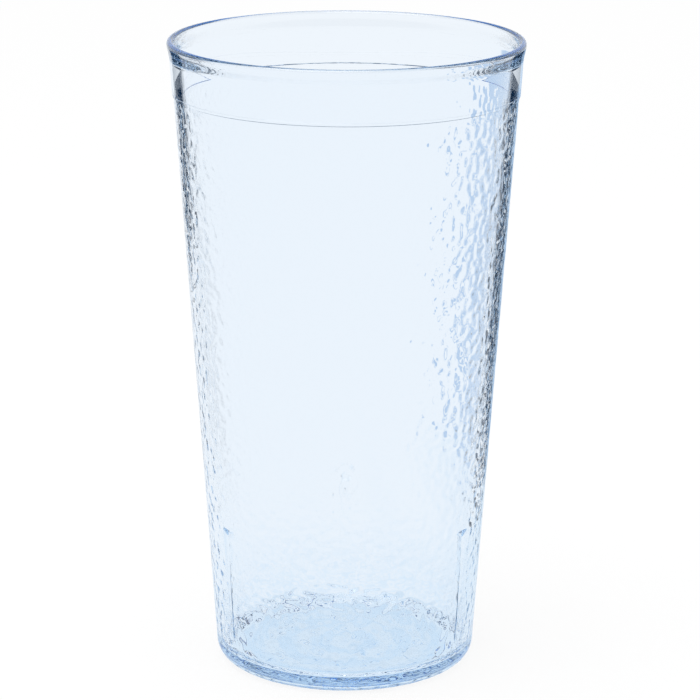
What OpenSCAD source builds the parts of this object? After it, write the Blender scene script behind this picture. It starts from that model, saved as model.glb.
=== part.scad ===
// Stacking plastic tumbler: one injection moulding, a tapered cup with a pebbled body,
// a smooth drinking band, a rounded lip, a foot ring and three stacking lugs inside.
// Millimetres, +Z up, origin on the axis in the plane that the cup stands on.

/* [Overall] */
// Height from the table to the top of the lip
height = 166; // [140:1:190]
// Outer diameter over the lip
mouth_d = 92; // [86:0.5:102]
// Outer diameter of the tapered body, carried down to the table through the rounded corner
base_d = 68; // [60:0.5:74]
// Thickness of the body's wall
wall = 2.2; // [1.6:0.1:3]

/* [Smooth band and lip] */
// Height of the smooth band that the lips touch, from the lip down to its ledge
band_h = 14; // [10:0.5:24]
// How far the smooth band stands out from the pebbled body
ledge = 0.3; // [0.2:0.05:0.8]
// How far the lip turns out from the line of the band
lip_flare = 0.4; // [0.2:0.05:1.2]
// Thickness of the lip, which is fully rounded on top
lip_t = 1.9; // [1.4:0.1:2.6]
// Height of the stretch in which the wall turns out into the lip
flare_h = 4; // [2:0.25:7]

/* [Base] */
// Thickness of the floor above the recess
floor_t = 3.2; // [2:0.1:5]
// Depth of the recess under the floor
recess_h = 0.8; // [0.4:0.1:1.6]
// Width of the flat ring that the cup stands on
foot_w = 2.4; // [1.5:0.1:5]
// Radius of the outer corner at the base
corner_r = 4.2; // [2:0.1:7]
// Radius of the inner corner between wall and floor
fillet_r = 2.6; // [1.5:0.1:6]

/* [Stacking lugs] */
// Number of lugs round the inside
lug_count = 3; // [3:1:8]
// Width of a lug where it leaves the wall
lug_w = 2.8; // [2:0.1:4]
// Width of a lug's inner edge, to which its drafted sides close in
lug_nose_w = 1.4; // [0.8:0.1:1.8]
// How far the lugs reach in under the base of the cup stacked inside
lug_bite = 1.2; // [0.6:0.1:2.5]
// Play between the wall and the base of the stacked cup, where that base meets the lugs
stack_gap = 0.55; // [0.3:0.05:1]
// Slope of the lugs' tops, measured from the horizontal
lug_slope = 45; // [25:1:60]
// Direction of the first lug, measured from +X
lug_turn = 90; // [0:5:115]

/* [Quality] */
// Points on a rounded corner of the section
corner_steps = 8; // [4:1:16]
// Points on the turn into the lip
flare_steps = 6; // [4:1:12]

/* [Hidden] */
$fn = 96;

// Height at which the lip's round top starts
lip_z = height - lip_t / 2;
// Radius gained for each millimetre of height, and the wall's lean from the vertical
taper = (mouth_d / 2 - lip_flare - ledge - base_d / 2) / lip_z;
lean = atan(taper);
// Top of the pebbled body, and the height at which the wall starts to turn out
ledge_z = height - band_h;
flare_z = height - lip_t / 2 - flare_h;
// Inner face of the floor
floor_z = recess_h + floor_t;
// The lugs' inner edges, the height at which a stacked base fits the wall, and their top there
lug_r = base_d / 2 - lug_bite;
lug_z = (wall + stack_gap) / taper;

// Outer radius of the pebbled body, and inner radius of the wall, at a height
function body_r(z) = base_d / 2 + taper * z;
function inside_r(z) = body_r(z) - wall;

// Points of an arc, from one angle to another
function arc(centre, r, from, to, steps) =
    [for (i = [0:steps]) let (a = from + (to - from) * i / steps) centre + r * [cos(a), sin(a)]];

// A smooth turn from 0 to 1
function turn(t) = t * t * (3 - 2 * t);

// Centre of a round corner of radius r that touches a wall leaning by lean, wall_r wide at its
// height, and a level face at z
function corner_centre(wall_r, r, z) = [wall_r - r / cos(lean), z + r];

outer_corner = corner_centre(body_r(corner_r), corner_r, 0);
inner_corner = corner_centre(inside_r(floor_z + fillet_r), fillet_r, floor_z);
lip_centre = [mouth_d / 2 - lip_t / 2, lip_z];
foot_r = outer_corner.x - foot_w;
// How far the inside turns out into the lip
inner_flare = mouth_d / 2 - lip_t - inside_r(lip_z);

// Half section through the wall, from the middle of the underside out, up, over and back down
section = concat(
    [[0, recess_h], [foot_r - recess_h, recess_h], [foot_r, 0]],
    arc(outer_corner, corner_r, -90, -lean, corner_steps),
    [[body_r(ledge_z), ledge_z]],
    [[body_r(ledge_z) + ledge, ledge_z]],
    [for (i = [0:flare_steps - 1]) let (t = i / flare_steps, z = flare_z + flare_h * t)
        [body_r(z) + ledge + lip_flare * turn(t), z]],
    arc(lip_centre, lip_t / 2, 0, 180, corner_steps * 2),
    [for (i = [1:flare_steps]) let (t = 1 - i / flare_steps, z = flare_z + flare_h * t)
        [inside_r(z) + inner_flare * turn(t), z]],
    arc(inner_corner, fillet_r, -lean, -90, corner_steps),
    [[0, floor_z]]
);

// The moulded wall and floor
module cup_shell() {
    rotate_extrude() polygon(section);
}

// Cone through the middle of the wall, in which the lugs are rooted
module wall_middle() {
    cylinder(h = ledge_z, r1 = body_r(0) - wall / 2, r2 = body_r(ledge_z) - wall / 2);
}

// Plan of a lug on the +X side: an upright rib whose sides close in towards its inner edge
module lug_plan() {
    root_r = inside_r(lug_z) + wall;
    polygon([[lug_r, -lug_nose_w / 2], [inside_r(lug_z), -lug_w / 2], [root_r, -lug_w / 2],
             [root_r, lug_w / 2], [inside_r(lug_z), lug_w / 2], [lug_r, lug_nose_w / 2]]);
}

// One lug. It runs out below, where the tapering wall meets its upright edge, and its top slopes
// down from the wall to carry the base of a stacked cup
module lug() {
    cut = 4 * wall;
    intersection() {
        wall_middle();
        difference() {
            translate([0, 0, floor_z]) linear_extrude(height = lug_z) lug_plan();
            translate([inside_r(lug_z), 0, lug_z]) rotate([0, -lug_slope, 0])
                translate([-cut, -cut / 2, 0]) cube([2 * cut, cut, lug_z]);
        }
    }
}

module tumbler() {
    color([0.80, 0.89, 0.97, 0.55]) union() {
        cup_shell();
        for (i = [0:lug_count - 1]) rotate([0, 0, lug_turn + 360 * i / lug_count]) lug();
    }
}

tumbler();
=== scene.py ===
# %% [markdown]
# # A clear plastic tumbler
# This lesson dresses one moulded drinking cup. The CAD frame gives its true size and its wall.
# A clear cup has almost no colour of its own: what the eye sees is the light that its wall bends.
# So the work goes into three things: a wall with two true faces, a pebbled outside, and a set
# whose white and dark parts the wall can bend into view.

# %% Load the frame
import math

import bmesh
import bpy
from mathutils import Matrix, Vector, noise


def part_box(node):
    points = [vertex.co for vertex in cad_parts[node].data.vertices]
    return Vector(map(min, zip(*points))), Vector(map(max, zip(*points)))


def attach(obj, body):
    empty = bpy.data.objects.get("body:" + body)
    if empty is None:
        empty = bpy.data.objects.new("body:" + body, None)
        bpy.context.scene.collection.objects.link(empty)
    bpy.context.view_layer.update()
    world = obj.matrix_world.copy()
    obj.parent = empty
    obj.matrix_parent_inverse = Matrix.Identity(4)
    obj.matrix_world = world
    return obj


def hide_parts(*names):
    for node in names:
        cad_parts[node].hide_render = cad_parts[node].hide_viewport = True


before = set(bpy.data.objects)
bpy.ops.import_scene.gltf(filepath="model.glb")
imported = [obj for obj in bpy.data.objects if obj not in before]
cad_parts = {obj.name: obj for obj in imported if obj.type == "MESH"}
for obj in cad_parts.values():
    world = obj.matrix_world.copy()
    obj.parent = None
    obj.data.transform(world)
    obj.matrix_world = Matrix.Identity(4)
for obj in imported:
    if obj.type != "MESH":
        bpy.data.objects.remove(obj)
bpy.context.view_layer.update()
low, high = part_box("tumbler")
print("CAD box", [round(v, 4) for v in low], [round(v, 4) for v in high])

# %% [markdown]
# ## The camera
# The photograph was taken from a little above the rim with a long lens. The long lens is why
# the cup hardly narrows towards the back. The camera is fitted to the outline of the cup, so
# the lip, the ledge and the base all fall where the photograph has them.

# %% Camera
CAMERA_AWAY = 0.778
CAMERA_UP = 0.298
CAMERA_PITCH = 0.2691
CAMERA_ROLL = 0.0032
LENS_MM = 158.0
SENSOR_MM = 36.0
NEAR_CLIP = 0.01
PICTURE_PIXELS = 700
AXIS_LEFT_PIXELS = 4.4


def add_camera():
    """A camera in front of the cup, looking slightly down at it."""
    data = bpy.data.cameras.new("photo_camera")
    data.lens = LENS_MM
    data.sensor_width = SENSOR_MM
    data.shift_x = AXIS_LEFT_PIXELS / PICTURE_PIXELS
    data.clip_start = NEAR_CLIP
    camera = bpy.data.objects.new("photo_camera", data)
    tilt = Matrix.Rotation(math.pi / 2 - CAMERA_PITCH, 4, "X")
    roll = Matrix.Rotation(CAMERA_ROLL, 4, "Z")
    camera.matrix_world = Matrix.Translation((0, -CAMERA_AWAY, CAMERA_UP)) @ tilt @ roll
    bpy.context.collection.objects.link(camera)
    bpy.context.scene.camera = camera
    return camera


camera = add_camera()
print("camera at", tuple(round(v, 3) for v in camera.location))

# %% [markdown]
# ## Sizes of the moulding
# Height and mouth come from the frame. The rest are a moulder's sizes: the wall, the floor, the
# ledge under the smooth band and the radii of the corners. The wall leans outwards all the way
# up, so that the cup leaves its mould and stacks, and one number, the taper, says by how much.
# The ledge isn't cut square but slopes out, by its rise, so that light draws it as one thin line.

# %% Sizes, in metres
HEIGHT = high[2]
MOUTH_R = high[0]
BASE_R = 0.0340
WALL = 0.0022
BAND_H = 0.0140
LEDGE = 0.0003
LEDGE_RISE = 0.0002
LIP_T = 0.0019
LIP_FLARE = 0.0004
FLARE_H = 0.0040
FLOOR_T = 0.0032
RECESS_H = 0.0008
FOOT_W = 0.0024
CORNER_R = 0.0042
FILLET_R = 0.0026

lip_z = HEIGHT - LIP_T / 2
taper = (MOUTH_R - LIP_FLARE - LEDGE - BASE_R) / lip_z
lean = math.atan(taper)
ledge_z = HEIGHT - BAND_H
flare_z = lip_z - FLARE_H
floor_z = RECESS_H + FLOOR_T


def body_r(z):
    """Outer radius of the tapered body at a height."""
    return BASE_R + taper * z


def inside_r(z):
    """Radius of the polished inside at a height."""
    return body_r(z) - WALL


print(f"taper {taper:.4f}, radius under the ledge {body_r(ledge_z) * 1000:.2f} mm")

# %% [markdown]
# ## Rounded corners
# A moulded cup has no sharp turns. The outer corner at the base and the inner one at the floor
# are arcs that touch the leaning wall and a level face, so their centres follow from the lean.
# The same arc makes the round top of the lip, and a smooth turn leads the wall out into it.

# %% Corners of the section


def arc(centre, radius, start, end, steps):
    """Points on an arc, angles in radians."""
    angles = [start + (end - start) * i / steps for i in range(steps + 1)]
    return [(centre[0] + radius * math.cos(a), centre[1] + radius * math.sin(a)) for a in angles]


def turn(t):
    """A smooth turn from 0 to 1."""
    return t * t * (3 - 2 * t)


def corner_centre(wall_r, radius, z):
    """Centre of a round corner between the leaning wall and a level face at z."""
    return wall_r - radius / math.cos(lean), z + radius


outer_corner = corner_centre(body_r(CORNER_R), CORNER_R, 0)
inner_corner = corner_centre(inside_r(floor_z + FILLET_R), FILLET_R, floor_z)
foot_r = outer_corner[0] - FOOT_W
recess_r = foot_r - RECESS_H
inner_flare = MOUTH_R - LIP_T - inside_r(lip_z)
print(f"the cup stands on a ring {foot_r * 1000:.2f} to {outer_corner[0] * 1000:.2f} mm out")

# %% [markdown]
# ## The section through the wall
# A cup is turned about its axis, so one half section gives the whole form. It runs from the
# middle of the underside out round the foot, up the outside, over the lip and down the inside.
# The body has many rows, because its pebbles are pressed in by moving points. Close to a turn
# stands one more point, the support, which keeps the smooth shading of one face off the next.

# %% Half section
BODY_ROWS = 198
RECESS_ROWS = 12
CORNER_STEPS = 10
LIP_STEPS = 16
FLARE_STEPS = 7
SUPPORT = 0.0004


def outside_points():
    """From the middle of the underside to the foot of the ledge."""
    flat = [(recess_r * i / RECESS_ROWS, RECESS_H) for i in range(RECESS_ROWS)]
    step = [(recess_r - SUPPORT, RECESS_H), (recess_r, RECESS_H), (foot_r, 0)]
    corner = arc(outer_corner, CORNER_R, -math.pi / 2, -lean, CORNER_STEPS)
    start = corner[-1][1]
    tall = ledge_z - LEDGE_RISE - start
    heights = [start + tall * i / BODY_ROWS for i in range(1, BODY_ROWS + 1)]
    return flat + step + corner + [(body_r(z), z) for z in heights]


def lip_points():
    """From the top of the ledge up the smooth band and over the round lip to the inside."""
    steps = [i / FLARE_STEPS for i in range(FLARE_STEPS)]
    rise = [(t, flare_z + FLARE_H * t) for t in steps]
    band = [(body_r(z) + LEDGE, z) for z in (ledge_z, ledge_z + SUPPORT)]
    outer = [(body_r(z) + LEDGE + LIP_FLARE * turn(t), z) for t, z in rise]
    top = arc((MOUTH_R - LIP_T / 2, lip_z), LIP_T / 2, 0, math.pi, LIP_STEPS)
    inner = [(inside_r(z) + inner_flare * turn(t), z) for t, z in reversed(rise)]
    return band + outer + top + inner


def floor_points():
    """Down the inside and round its corner to the middle of the floor."""
    fillet = arc(inner_corner, FILLET_R, -lean, -math.pi / 2, CORNER_STEPS)
    wall = [(inside_r(z), z) for z in (flare_z - SUPPORT, fillet[0][1] + SUPPORT)]
    return wall + fillet + [(fillet[-1][0] - SUPPORT, floor_z), (0, floor_z)]


outside = outside_points()
section = outside + lip_points() + floor_points()
print(len(section), "points in the section,", len(outside), "of them outside")

# %% [markdown]
# ## Turning the section into a mesh
# A spin of the section makes one closed skin with no seam. It is built point by point, because
# the pebbles come next and need to know the way out of the wall at each point. The points on the
# axis are shared by all columns, so the middles of the floor and the underside close neatly.

# %% Turn the section
COLUMNS = 352
MASK = "pebbled"


def spin(points, columns):
    """A closed bmesh from a half section whose first and last points lie on the axis."""
    mesh = bmesh.new()
    mesh.verts.layers.float.new(MASK)
    turns = [2 * math.pi * k / columns for k in range(columns)]
    rings = []
    for radius, z in points:
        if radius == 0:
            rings.append([mesh.verts.new((0, 0, z))] * columns)
        else:
            places = [(radius * math.cos(a), radius * math.sin(a), z) for a in turns]
            rings.append([mesh.verts.new(place) for place in places])
    for lower, upper in zip(rings, rings[1:]):
        for k in range(columns):
            j = (k + 1) % columns
            corners = [lower[k], lower[j], upper[j], upper[k]]
            mesh.faces.new(list(dict.fromkeys(corners)))
    return mesh, rings


skin, rings = spin(section, COLUMNS)
print(len(skin.verts), "points and", len(skin.faces), "faces in the turned skin")

# %% [markdown]
# ## Pebbles in the wall
# The mould's cavity is etched, so the outside of the body is covered with low rounded pebbles.
# Seen close, they are soft lumps with no clear cells and no sharp valleys, and smooth random
# noise gives just that form. The larger lumps are pressed into the mesh here, and the finer ones
# are left to the surface's bump, where they cost no triangles.
#
# Each point of the mesh also says how strongly it is pebbled, and the bump reads that. The body
# and the middle of the underside are pebbled fully, the rounded base corner less, and the band,
# the lip and the inside not at all. Only the lowest part of the corner, beside the ring that the
# cup stands on, is much rougher, because the cup in the photograph sparkles there.

# %% Press the larger pebbles
PEBBLE_SIZE = 0.0045
PEBBLE_DEPTH = 0.00005
PEBBLE_FADE = 0.0020
UNDER_STRENGTH = 1.0
CORNER_FADE = 0.0090
CORNER_STRENGTH = 0.3
FOOT_H = 0.0021
FOOT_STRENGTH = 8.0


def pebble_height(spot):
    """From 0 in the hollows to 1 on the pebbles, at a place on the body."""
    return 0.5 + 0.5 * noise.noise(spot / PEBBLE_SIZE)


def pebbled(radius, z):
    """How strongly a place on the outside is pebbled. It fades at the ledge and the corner."""
    if radius <= foot_r:
        return UNDER_STRENGTH if radius < recess_r - SUPPORT else 0.0
    up = max(CORNER_STRENGTH * min(1.0, z / PEBBLE_FADE), z / CORNER_FADE)
    down = (ledge_z - z) / PEBBLE_FADE
    return max(0.0, min(1.0, up, down))


def press_pebbles():
    """Moves the outside's points in from the moulding's true surface, by up to the depth."""
    mask = skin.verts.layers.float[MASK]
    moved = 0
    for ring, (radius, z) in zip(rings, outside):
        strength = pebbled(radius, z)
        past_foot = radius > foot_r
        for vert in set(ring):
            vert[mask] = FOOT_STRENGTH if past_foot and z < FOOT_H else strength
            if past_foot:
                spot = vert.co.copy()
                across = Vector((spot.x, spot.y, 0)).normalized() * math.cos(lean)
                out = across - Vector((0, 0, math.sin(lean)))
                vert.co -= out * PEBBLE_DEPTH * strength * (1 - pebble_height(spot))
                moved += 1
    return moved


print(press_pebbles(), "points pebbled")

# %% [markdown]
# ## The cup's skin as an object
# The skin becomes an ordinary mesh object before the lugs are joined, because the boolean that
# joins them works on objects.

# %% Make the cup
wall_mesh = bpy.data.meshes.new("cup")
skin.normal_update()
skin.to_mesh(wall_mesh)
skin.free()
cup = bpy.data.objects.new("cup", wall_mesh)
bpy.context.collection.objects.link(cup)
print("cup has", len(wall_mesh.polygons), "faces")

# %% [markdown]
# ## Stacking lugs
# Three upright ribs low on the inside carry the base of the next cup in a stack. Each stands
# upright while the wall leans away, so it grows out of the wall from nothing, closes in towards
# its inner edge so that it leaves the mould, and slopes on top. The ribs are made as plain
# wedges rooted in the middle of the wall. Their free edges are rounded, because a rounded edge
# of clear plastic is what draws a fine line.

# %% Shape of a lug
LUG_W = 0.0028
LUG_NOSE_W = 0.0014
LUG_BITE = 0.0012
STACK_GAP = 0.00055
LUG_START_Z = 0.0080
LUG_EDGE = 0.0006
LUG_EDGE_STEPS = 4
ROUND = 0.5

lug_r = BASE_R - LUG_BITE
lug_top = (WALL + STACK_GAP) / taper
lug_root = inside_r(lug_top)
lug_draft = (LUG_W - LUG_NOSE_W) / 2 / (lug_root - lug_r)


def wedge_corners(mesh):
    """Four corners below and four above, with the back ones in the middle of the wall."""
    corners = []
    for top in (False, True):
        back_r = (inside_r(lug_top) if top else inside_r(LUG_START_Z)) + WALL / 2
        for radius in (lug_r, back_r):
            half = LUG_NOSE_W / 2 + lug_draft * (radius - lug_r)
            z = lug_top + radius - lug_root if top else LUG_START_Z
            corners += [mesh.verts.new((radius, -half, z)), mesh.verts.new((radius, half, z))]
    return corners


def wedge(mesh, turn_by):
    """One rib as a closed wedge with rounded free edges, turned to its place."""
    corners = wedge_corners(mesh)
    a, b, c, d, e, f, g, h = corners
    faces = [(a, b, d, c), (e, g, h, f), (a, e, f, b), (c, d, h, g), (a, c, g, e), (b, f, h, d)]
    for face in faces:
        mesh.faces.new(face)
    place = Matrix.Rotation(turn_by, 3, "Z")
    bmesh.ops.rotate(mesh, verts=corners, cent=(0, 0, 0), matrix=place)
    free = [mesh.edges.get(pair) for pair in [(a, e), (b, f), (e, f), (e, g), (f, h)]]
    bmesh.ops.bevel(
        mesh, geom=free, offset=LUG_EDGE, segments=LUG_EDGE_STEPS, profile=ROUND, affect="EDGES"
    )


print(f"lugs reach in to {lug_r * 1000:.1f} mm and up to {lug_top * 1000:.1f} mm")

# %% [markdown]
# ## Joining the lugs to the wall
# One boolean union joins the ribs to the skin, so that no face is left inside the plastic, where
# it would glint. After it, the cup is shaded smooth up to an angle that keeps the ledge and the
# foot crisp. The cup is one moulding, so it stands for the whole CAD node.

# %% Join the lugs
LUG_COUNT = 3
LUG_TURN = math.pi / 2
CRISP_FROM = math.radians(32)


def join_lugs():
    """Unites the three ribs with the cup's skin."""
    mesh = bmesh.new()
    for k in range(LUG_COUNT):
        wedge(mesh, LUG_TURN + 2 * math.pi * k / LUG_COUNT)
    bmesh.ops.recalc_face_normals(mesh, faces=mesh.faces)
    data = bpy.data.meshes.new("lugs")
    mesh.to_mesh(data)
    mesh.free()
    lugs = bpy.data.objects.new("lugs", data)
    bpy.context.collection.objects.link(lugs)
    union = cup.modifiers.new("lugs", "BOOLEAN")
    union.operation = "UNION"
    union.solver = "EXACT"
    union.object = lugs
    bpy.context.view_layer.objects.active = cup
    bpy.ops.object.modifier_apply(modifier=union.name)
    bpy.data.objects.remove(lugs)


join_lugs()
cup.data.shade_smooth()
cup.data.set_sharp_from_angle(angle=CRISP_FROM)
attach(cup, "root")
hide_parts("tumbler")
print("with its lugs the cup has", len(cup.data.polygons), "faces")

# %% [markdown]
# ## The plastic
# The plastic is a clear styrene blend with a faint blue tint. Light bends at both faces of the
# wall, so the shader is full transmission with the plastic's own index. The tint is a volume
# absorption, because then thick places such as the lip, the base and the edges of the wall turn
# bluer by themselves, as they do on the real cup. The bump is smooth noise again, times the
# strength that the mesh gives, so the inside and the band stay polished.

# %% Clear plastic
PLASTIC_IOR = 1.57
SURFACE_TINT = (0.97, 0.985, 1, 1)
TINT = (0.40, 0.70, 0.945, 1)
TINT_DENSITY = 16
FINE_PEBBLE_SIZE = 0.0021
FINE_PEBBLE_DEPTH = 0.00017


def clear_plastic():
    """Tinted clear plastic, pebbled where the mesh says so and polished elsewhere."""
    material = bpy.data.materials.new("clear_plastic")
    material.use_nodes = True
    tree = material.node_tree
    tree.nodes.clear()
    new, join = tree.nodes.new, tree.links.new
    out = new("ShaderNodeOutputMaterial")
    plastic = new("ShaderNodeBsdfPrincipled")
    plastic.inputs["Base Color"].default_value = SURFACE_TINT
    plastic.inputs["Transmission Weight"].default_value = 1
    plastic.inputs["IOR"].default_value = PLASTIC_IOR
    plastic.inputs["Roughness"].default_value = 0
    inside = new("ShaderNodeVolumeAbsorption")
    inside.inputs["Color"].default_value = TINT
    inside.inputs["Density"].default_value = TINT_DENSITY
    place = new("ShaderNodeTexCoord")
    pebbles = new("ShaderNodeTexNoise")
    pebbles.inputs["Scale"].default_value = 1 / FINE_PEBBLE_SIZE
    pebbles.inputs["Detail"].default_value = 0
    mask = new("ShaderNodeAttribute")
    mask.attribute_name = MASK
    relief = new("ShaderNodeMath")
    relief.operation = "MULTIPLY"
    bump = new("ShaderNodeBump")
    bump.inputs["Distance"].default_value = FINE_PEBBLE_DEPTH
    join(place.outputs["Object"], pebbles.inputs["Vector"])
    join(pebbles.outputs[0], relief.inputs[0])
    join(mask.outputs["Fac"], relief.inputs[1])
    join(relief.outputs[0], bump.inputs["Height"])
    join(bump.outputs["Normal"], plastic.inputs["Normal"])
    join(plastic.outputs["BSDF"], out.inputs["Surface"])
    join(inside.outputs["Volume"], out.inputs["Volume"])
    return material


cup.data.materials.clear()
cup.data.materials.append(clear_plastic())
print("plastic on", cup.name)

# %% [markdown]
# ## Helpers for painting the set
# The surround and the table are painted with sums on directions and places. A few helpers keep
# those sums short: a colour ramp, one maths node, masks that are 1 in a range or where several
# others are, and a mix of two colours. A socket or a plain value may go in anywhere.

# %% Helpers
WHITE = (1, 1, 1, 1)
BLACK = (0, 0, 0, 1)


def ramp_colour(tree, value, stops):
    """The colour at a value on a ramp, from a list of places and colours."""
    node = tree.nodes.new("ShaderNodeValToRGB")
    elements = node.color_ramp.elements
    for place, colour in stops[1:-1]:
        elements.new(place).color = colour
    for element, (place, colour) in zip((elements[0], elements[-1]), (stops[0], stops[-1])):
        element.position = place
        element.color = colour
    tree.links.new(value, node.inputs["Fac"])
    return node.outputs["Color"]


def math_node(tree, operation, first, second=0.0):
    """The result of a Math node whose inputs are sockets or plain numbers."""
    node = tree.nodes.new("ShaderNodeMath")
    node.operation = operation
    for socket, value in zip(node.inputs, (first, second)):
        if isinstance(value, (int, float)):
            socket.default_value = value
        else:
            tree.links.new(value, socket)
    return node.outputs[0]


def both(tree, first, second):
    """A mask that is 1 where two masks are."""
    return math_node(tree, "MULTIPLY", first, second)


def between(tree, value, lowest, highest):
    """A mask that is 1 where a value lies in a range."""
    above = math_node(tree, "GREATER_THAN", value, lowest)
    return both(tree, above, math_node(tree, "LESS_THAN", value, highest))


def mix_colours(tree, factor, first, second):
    """A colour that runs from the first to the second with the factor."""
    node = tree.nodes.new("ShaderNodeMix")
    node.data_type = "RGBA"
    for name, value in (("Factor", factor), ("A", first), ("B", second)):
        socket = next(item for item in node.inputs if item.name == name and item.enabled)
        if isinstance(value, (tuple, float)):
            socket.default_value = value
        else:
            tree.links.new(value, socket)
    return next(item for item in node.outputs if item.enabled)


print("helpers ready")

# %% [markdown]
# ## Cards round the cup
# A clear thing is shown by what stands beside the view: a photographer puts dark cards just out
# of frame, and the wall bends them into its edges as dark lines. Here the cards are painted on
# the surround, at fixed bearings in the room. All the way round, dark cards stand between white
# windows every 45 degrees, so that the edges read from any side. The photograph's own view
# has other cards behind the cup: a dark one at the left, and a pale blue one and a dark one at
# the right, where the real cup's edge is broader and bluer. The white that bent light sees is a
# little under white and a little blue, as the middle of the real cup is.

# %% Cards by bearing, in degrees
WINDOWS = 8
WINDOW_HALF = 12.0
SPACING = 360 / WINDOWS
CARD_END = SPACING - WINDOW_HALF
FRONT_LEFT = 22.0
FRONT_PALE = 7.5
FRONT_RIGHT = 21.0
FRONT_DARK_END = 43.0
FRONT_END = 62.0
SOFT_EDGE = 0.3
PALE_CARD = (0.40, 0.57, 0.80, 1)
DARK_CARD = (0.005, 0.02, 0.05, 1)
BENT_WHITE = (0.915, 0.948, 0.985, 1)


def cards_round_about(tree, bearing):
    """White windows with dark cards between them, all the way round."""
    phase = math_node(tree, "FRACT", math_node(tree, "DIVIDE", bearing, SPACING))
    stops = [(WINDOW_HALF, BENT_WHITE), (WINDOW_HALF + SOFT_EDGE, DARK_CARD)]
    stops += [(CARD_END - SOFT_EDGE, DARK_CARD), (CARD_END, BENT_WHITE)]
    return ramp_colour(tree, phase, [(edge / SPACING, colour) for edge, colour in stops])


def cards_in_front(tree, bearing):
    """The cards that the photograph's view sees behind the cup, from its left to its right."""
    stops = [(-FRONT_DARK_END - SOFT_EDGE, BENT_WHITE), (-FRONT_DARK_END, DARK_CARD)]
    stops += [(-FRONT_LEFT - SOFT_EDGE, DARK_CARD), (-FRONT_LEFT, BENT_WHITE)]
    stops += [(FRONT_PALE, BENT_WHITE), (FRONT_PALE + SOFT_EDGE, PALE_CARD)]
    stops += [(FRONT_RIGHT, PALE_CARD), (FRONT_RIGHT + SOFT_EDGE, DARK_CARD)]
    stops += [(FRONT_DARK_END, DARK_CARD), (FRONT_DARK_END + SOFT_EDGE, BENT_WHITE)]
    width = 2 * FRONT_END
    across = math_node(tree, "DIVIDE", math_node(tree, "ADD", bearing, FRONT_END), width)
    return ramp_colour(tree, across, [((edge + FRONT_END) / width, c) for edge, c in stops])


print(WINDOWS, "white windows with dark cards between them")

# %% [markdown]
# ## The surround
# Light Path tells who looks. The camera sees plain white, and the floor gets a soft even light.
# Light that the cup has bent sees the cards, and above them a pale ceiling whose middle is dim
# and blue, which gives the thick base its colour. Light that has also bounced inside the wall
# sees the cards only behind the cup and a little below level, because elsewhere it would fill
# the wall with dark specks. Heights here are the upward part of a direction, from -1 to 1.

# %% Surround
FRONT_LOWEST = -0.33
BOUNCE_LOWEST = -0.345
BOUNCE_HIGHEST = -0.185
BOUNCED_FROM = 0.5
CEILING_FROM = 0.12
CEILING_TO = 0.20
CEILING_PALE = (0.78, 0.82, 0.86, 1)
HIGH_FROM = 0.42
HIGH_TO = 0.52
CEILING_HIGH = (0.10, 0.16, 0.25, 1)
ROOM_LIGHT = (0.65, 0.65, 0.65, 1)


def bearing_and_rise(tree):
    """A direction's bearing in degrees, 0 behind the cup as the photograph sees it, and height."""
    place = tree.nodes.new("ShaderNodeTexCoord")
    way = tree.nodes.new("ShaderNodeSeparateXYZ")
    tree.links.new(place.outputs["Generated"], way.inputs[0])
    radians = math_node(tree, "ARCTAN2", way.outputs["X"], way.outputs["Y"])
    return math_node(tree, "DEGREES", radians), way.outputs["Z"]


def bent_view(tree, path):
    """What bent light sees: cards round the sides, where it is let see them, and the ceiling."""
    bearing, rise = bearing_and_rise(tree)
    near = math_node(tree, "LESS_THAN", math_node(tree, "ABSOLUTE", bearing), FRONT_END)
    at_front = both(tree, near, math_node(tree, "GREATER_THAN", rise, FRONT_LOWEST))
    round_about = cards_round_about(tree, bearing)
    cards = mix_colours(tree, at_front, round_about, cards_in_front(tree, bearing))
    bounced = math_node(tree, "GREATER_THAN", path.outputs["Glossy Depth"], BOUNCED_FROM)
    ahead = both(tree, at_front, between(tree, rise, BOUNCE_LOWEST, BOUNCE_HIGHEST))
    hidden = both(tree, bounced, math_node(tree, "SUBTRACT", 1.0, ahead))
    clean = math_node(tree, "SUBTRACT", 1.0, hidden)
    shown = both(tree, clean, path.outputs["Is Glossy Ray"])
    sides = mix_colours(tree, shown, BENT_WHITE, cards)
    is_ceiling = ramp_colour(tree, rise, [(CEILING_FROM, BLACK), (CEILING_TO, WHITE)])
    ceiling = ramp_colour(tree, rise, [(HIGH_FROM, CEILING_PALE), (HIGH_TO, CEILING_HIGH)])
    return mix_colours(tree, is_ceiling, sides, ceiling)


def light_surround():
    """White to the camera, soft light on the floor, and cards and a ceiling for bent light."""
    world = bpy.data.worlds.new("surround")
    world.use_nodes = True
    tree = world.node_tree
    tree.nodes.clear()
    out = tree.nodes.new("ShaderNodeOutputWorld")
    sky = tree.nodes.new("ShaderNodeBackground")
    path = tree.nodes.new("ShaderNodeLightPath")
    bent = bent_view(tree, path)
    seen = mix_colours(tree, path.outputs["Is Diffuse Ray"], bent, ROOM_LIGHT)
    colour = mix_colours(tree, path.outputs["Is Camera Ray"], seen, WHITE)
    tree.links.new(colour, sky.inputs["Color"])
    tree.links.new(sky.outputs[0], out.inputs["Surface"])
    bpy.context.scene.world = world
    return world


surround = light_surround()
print("surround painted with", len(surround.node_tree.nodes), "nodes")
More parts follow.
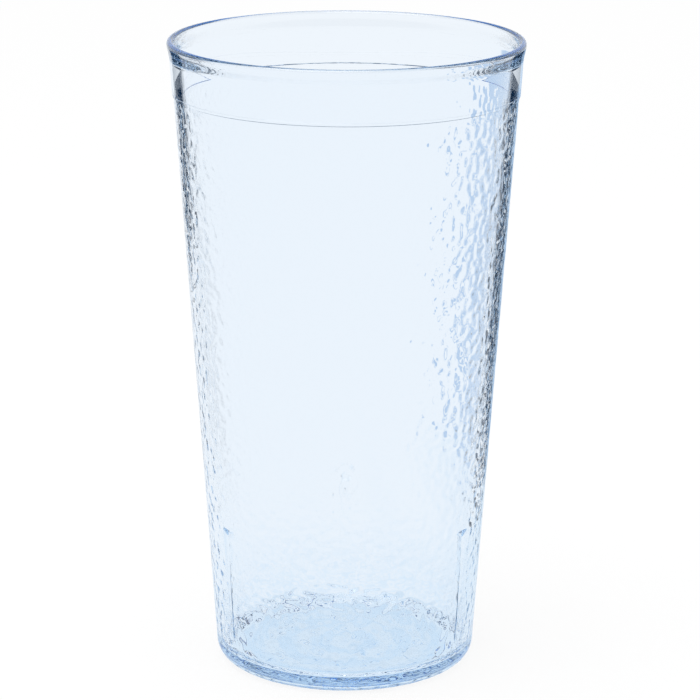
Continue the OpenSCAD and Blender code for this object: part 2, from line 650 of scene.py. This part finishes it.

# %% [markdown]
# ## The table that bent light sees
# The eye sees one wide floor. Light that the cup has bent sees only a round table top, and past
# its edge the surround, so the cards show in the upper part of the wall and the table's white in
# the lower part. Under the cup the table carries a painted shadow of the cup, blue as light
# through the plastic would make it, which the base and the floor of the cup pick up. Faint painted
# caustic rings round the cup give the pebbles something to ripple, and a painted soft blue shade
# on its right side tones the lower wall there, as in the photograph. All of these lie at fixed
# places on the table.

# %% Table
# The painted shadow under the cup, tinted blue as light through the plastic would tint it.
CUP_SHADOW_TINT = (0.63, 0.81, 0.985, 1)
# Painted caustics: faint rings of bluer and whiter light round the cup.
CAUSTIC_RING_STEP = 0.009
CAUSTIC_RING_END = 0.115
CAUSTIC_RING_TINT = (0.74, 0.86, 0.97, 1)
SHADE_FROM = 0.028
SHADE_TO = 0.062
SHADE_TINT = (0.78, 0.875, 0.965, 1)


def table_glow_with_painted_shade(tree):
    """Near white, with a painted blue shadow under the cup, faint painted caustic rings round it
    and a painted soft shade to its right.
    """
    place = tree.nodes.new("ShaderNodeTexCoord")
    length = tree.nodes.new("ShaderNodeVectorMath")
    length.operation = "LENGTH"
    tree.links.new(place.outputs["Object"], length.inputs[0])
    reach = length.outputs["Value"]
    # Painted blue shadow under the cup, fading to white at the base's outer edge.
    under = ramp_colour(tree, reach, [(foot_r, CUP_SHADOW_TINT), (body_r(0), BENT_WHITE)])
    # Painted caustic rings, fading out away from the cup.
    turns = math_node(tree, "MULTIPLY", reach, 2 * math.pi / CAUSTIC_RING_STEP)
    wave = math_node(tree, "ADD", math_node(tree, "SINE", turns), 1.0)
    crest = math_node(tree, "MULTIPLY", wave, 0.5)
    near = ramp_colour(tree, reach, [(BASE_R, WHITE), (CAUSTIC_RING_END, BLACK)])
    caustic_rings = math_node(tree, "MULTIPLY", crest, near)
    with_caustic_rings = mix_colours(tree, caustic_rings, under, CAUSTIC_RING_TINT)
    spot = tree.nodes.new("ShaderNodeSeparateXYZ")
    tree.links.new(place.outputs["Object"], spot.inputs[0])
    aside = ramp_colour(tree, spot.outputs["X"], [(SHADE_FROM, BLACK), (SHADE_TO, WHITE)])
    return mix_colours(tree, aside, with_caustic_rings, SHADE_TINT)


def white_table():
    """A table top that glows with its painted light and shade, so that no real shadow of the cup
    dims it.
    """
    material = bpy.data.materials.new("table")
    material.use_nodes = True
    tree = material.node_tree
    tree.nodes.clear()
    out = tree.nodes.new("ShaderNodeOutputMaterial")
    glow = tree.nodes.new("ShaderNodeEmission")
    tree.links.new(table_glow_with_painted_shade(tree), glow.inputs["Color"])
    tree.links.new(glow.outputs[0], out.inputs["Surface"])
    return material


table_paint = white_table()
print("table painted with", len(table_paint.node_tree.nodes), "nodes")

# %% [markdown]
# ## The floor that the camera sees
# The floor has to look white and still take the cup's faint shadow. A grey paint takes the
# shadow, and a steady glow under it lifts the grey to white.

# %% Floor
FLOOR_GREY = (0.15, 0.15, 0.15, 1)
FLOOR_GLOW = 0.885


def pale_floor():
    """A floor colour that looks white and still takes a shadow."""
    material = bpy.data.materials.new("floor")
    material.use_nodes = True
    tree = material.node_tree
    tree.nodes.clear()
    out = tree.nodes.new("ShaderNodeOutputMaterial")
    paint = tree.nodes.new("ShaderNodeBsdfDiffuse")
    paint.inputs["Color"].default_value = FLOOR_GREY
    glow = tree.nodes.new("ShaderNodeEmission")
    seen_by = tree.nodes.new("ShaderNodeLightPath").outputs
    straight = math_node(tree, "MAXIMUM", seen_by["Is Camera Ray"], seen_by["Is Glossy Ray"])
    seen = math_node(tree, "MAXIMUM", straight, seen_by["Is Transmission Ray"])
    tree.links.new(math_node(tree, "MULTIPLY", seen, FLOOR_GLOW), glow.inputs["Strength"])
    sum_of = tree.nodes.new("ShaderNodeAddShader")
    tree.links.new(paint.outputs[0], sum_of.inputs[0])
    tree.links.new(glow.outputs[0], sum_of.inputs[1])
    tree.links.new(sum_of.outputs[0], out.inputs["Surface"])
    return material


floor_paint = pale_floor()
print("floor painted with", len(floor_paint.node_tree.nodes), "nodes")

# %% [markdown]
# ## Laying the floor and the table
# Both lie in the plane that the cup stands on, and neither is part of the cup. The floor hides
# from bent light, and the table from the camera and from the light that falls on the floor. The
# table reaches far to the left of the cup and only a little to its right, where the photograph's
# edge shows more of the cards.

# %% Lay the floor and the table
FLOOR_SIZE = 6.0
TABLE_R = 0.355
TABLE_X = -0.25
TABLE_POINTS = 96


def flat_piece(name, outline, material):
    """A level face in the plane that the cup stands on."""
    mesh = bmesh.new()
    mesh.faces.new([mesh.verts.new((x, y, 0)) for x, y in outline])
    data = bpy.data.meshes.new(name)
    mesh.to_mesh(data)
    mesh.free()
    data.materials.append(material)
    piece = bpy.data.objects.new(name, data)
    bpy.context.collection.objects.link(piece)
    return piece


half = FLOOR_SIZE / 2
floor_edge = [(-half, -half), (half, -half), (half, half), (-half, half)]
floor = flat_piece("floor", floor_edge, floor_paint)
floor.visible_transmission = False
floor.visible_glossy = False
rim_angles = [2 * math.pi * k / TABLE_POINTS for k in range(TABLE_POINTS)]
table_edge = [(TABLE_X + TABLE_R * math.cos(a), TABLE_R * math.sin(a)) for a in rim_angles]
table = flat_piece("table", table_edge, table_paint)
table.visible_camera = False
table.visible_diffuse = False
table.visible_shadow = False
print("floor and table in place")

# %% [markdown]
# ## Light
# Almost all the light comes from the white surround. One wide soft lamp overhead gives the floor
# its faint shadow and the lip a little sparkle. Light bends many times in the wall before it
# comes out, so it is followed for many bends.

# %% Lamp and view
LAMP_ENERGY = 3.5
LAMP_SIZE = 0.9
LAMP_PLACE = Vector((-0.25, -0.2, 1.1))
BENDS = 48

lamp_data = bpy.data.lights.new("overhead", "AREA")
lamp_data.shape = "DISK"
lamp_data.size = LAMP_SIZE
lamp_data.energy = LAMP_ENERGY
lamp = bpy.data.objects.new("overhead", lamp_data)
lamp.location = LAMP_PLACE
aim = Vector((0, 0, HEIGHT / 2)) - LAMP_PLACE
lamp.rotation_euler = aim.to_track_quat("-Z", "Y").to_euler()
bpy.context.collection.objects.link(lamp)

scene = bpy.context.scene
scene.view_settings.view_transform = "Standard"
scene.cycles.max_bounces = BENDS
scene.cycles.transmission_bounces = BENDS
scene.cycles.glossy_bounces = BENDS
print("lamp of", LAMP_ENERGY, "W, light followed for", BENDS, "bends")
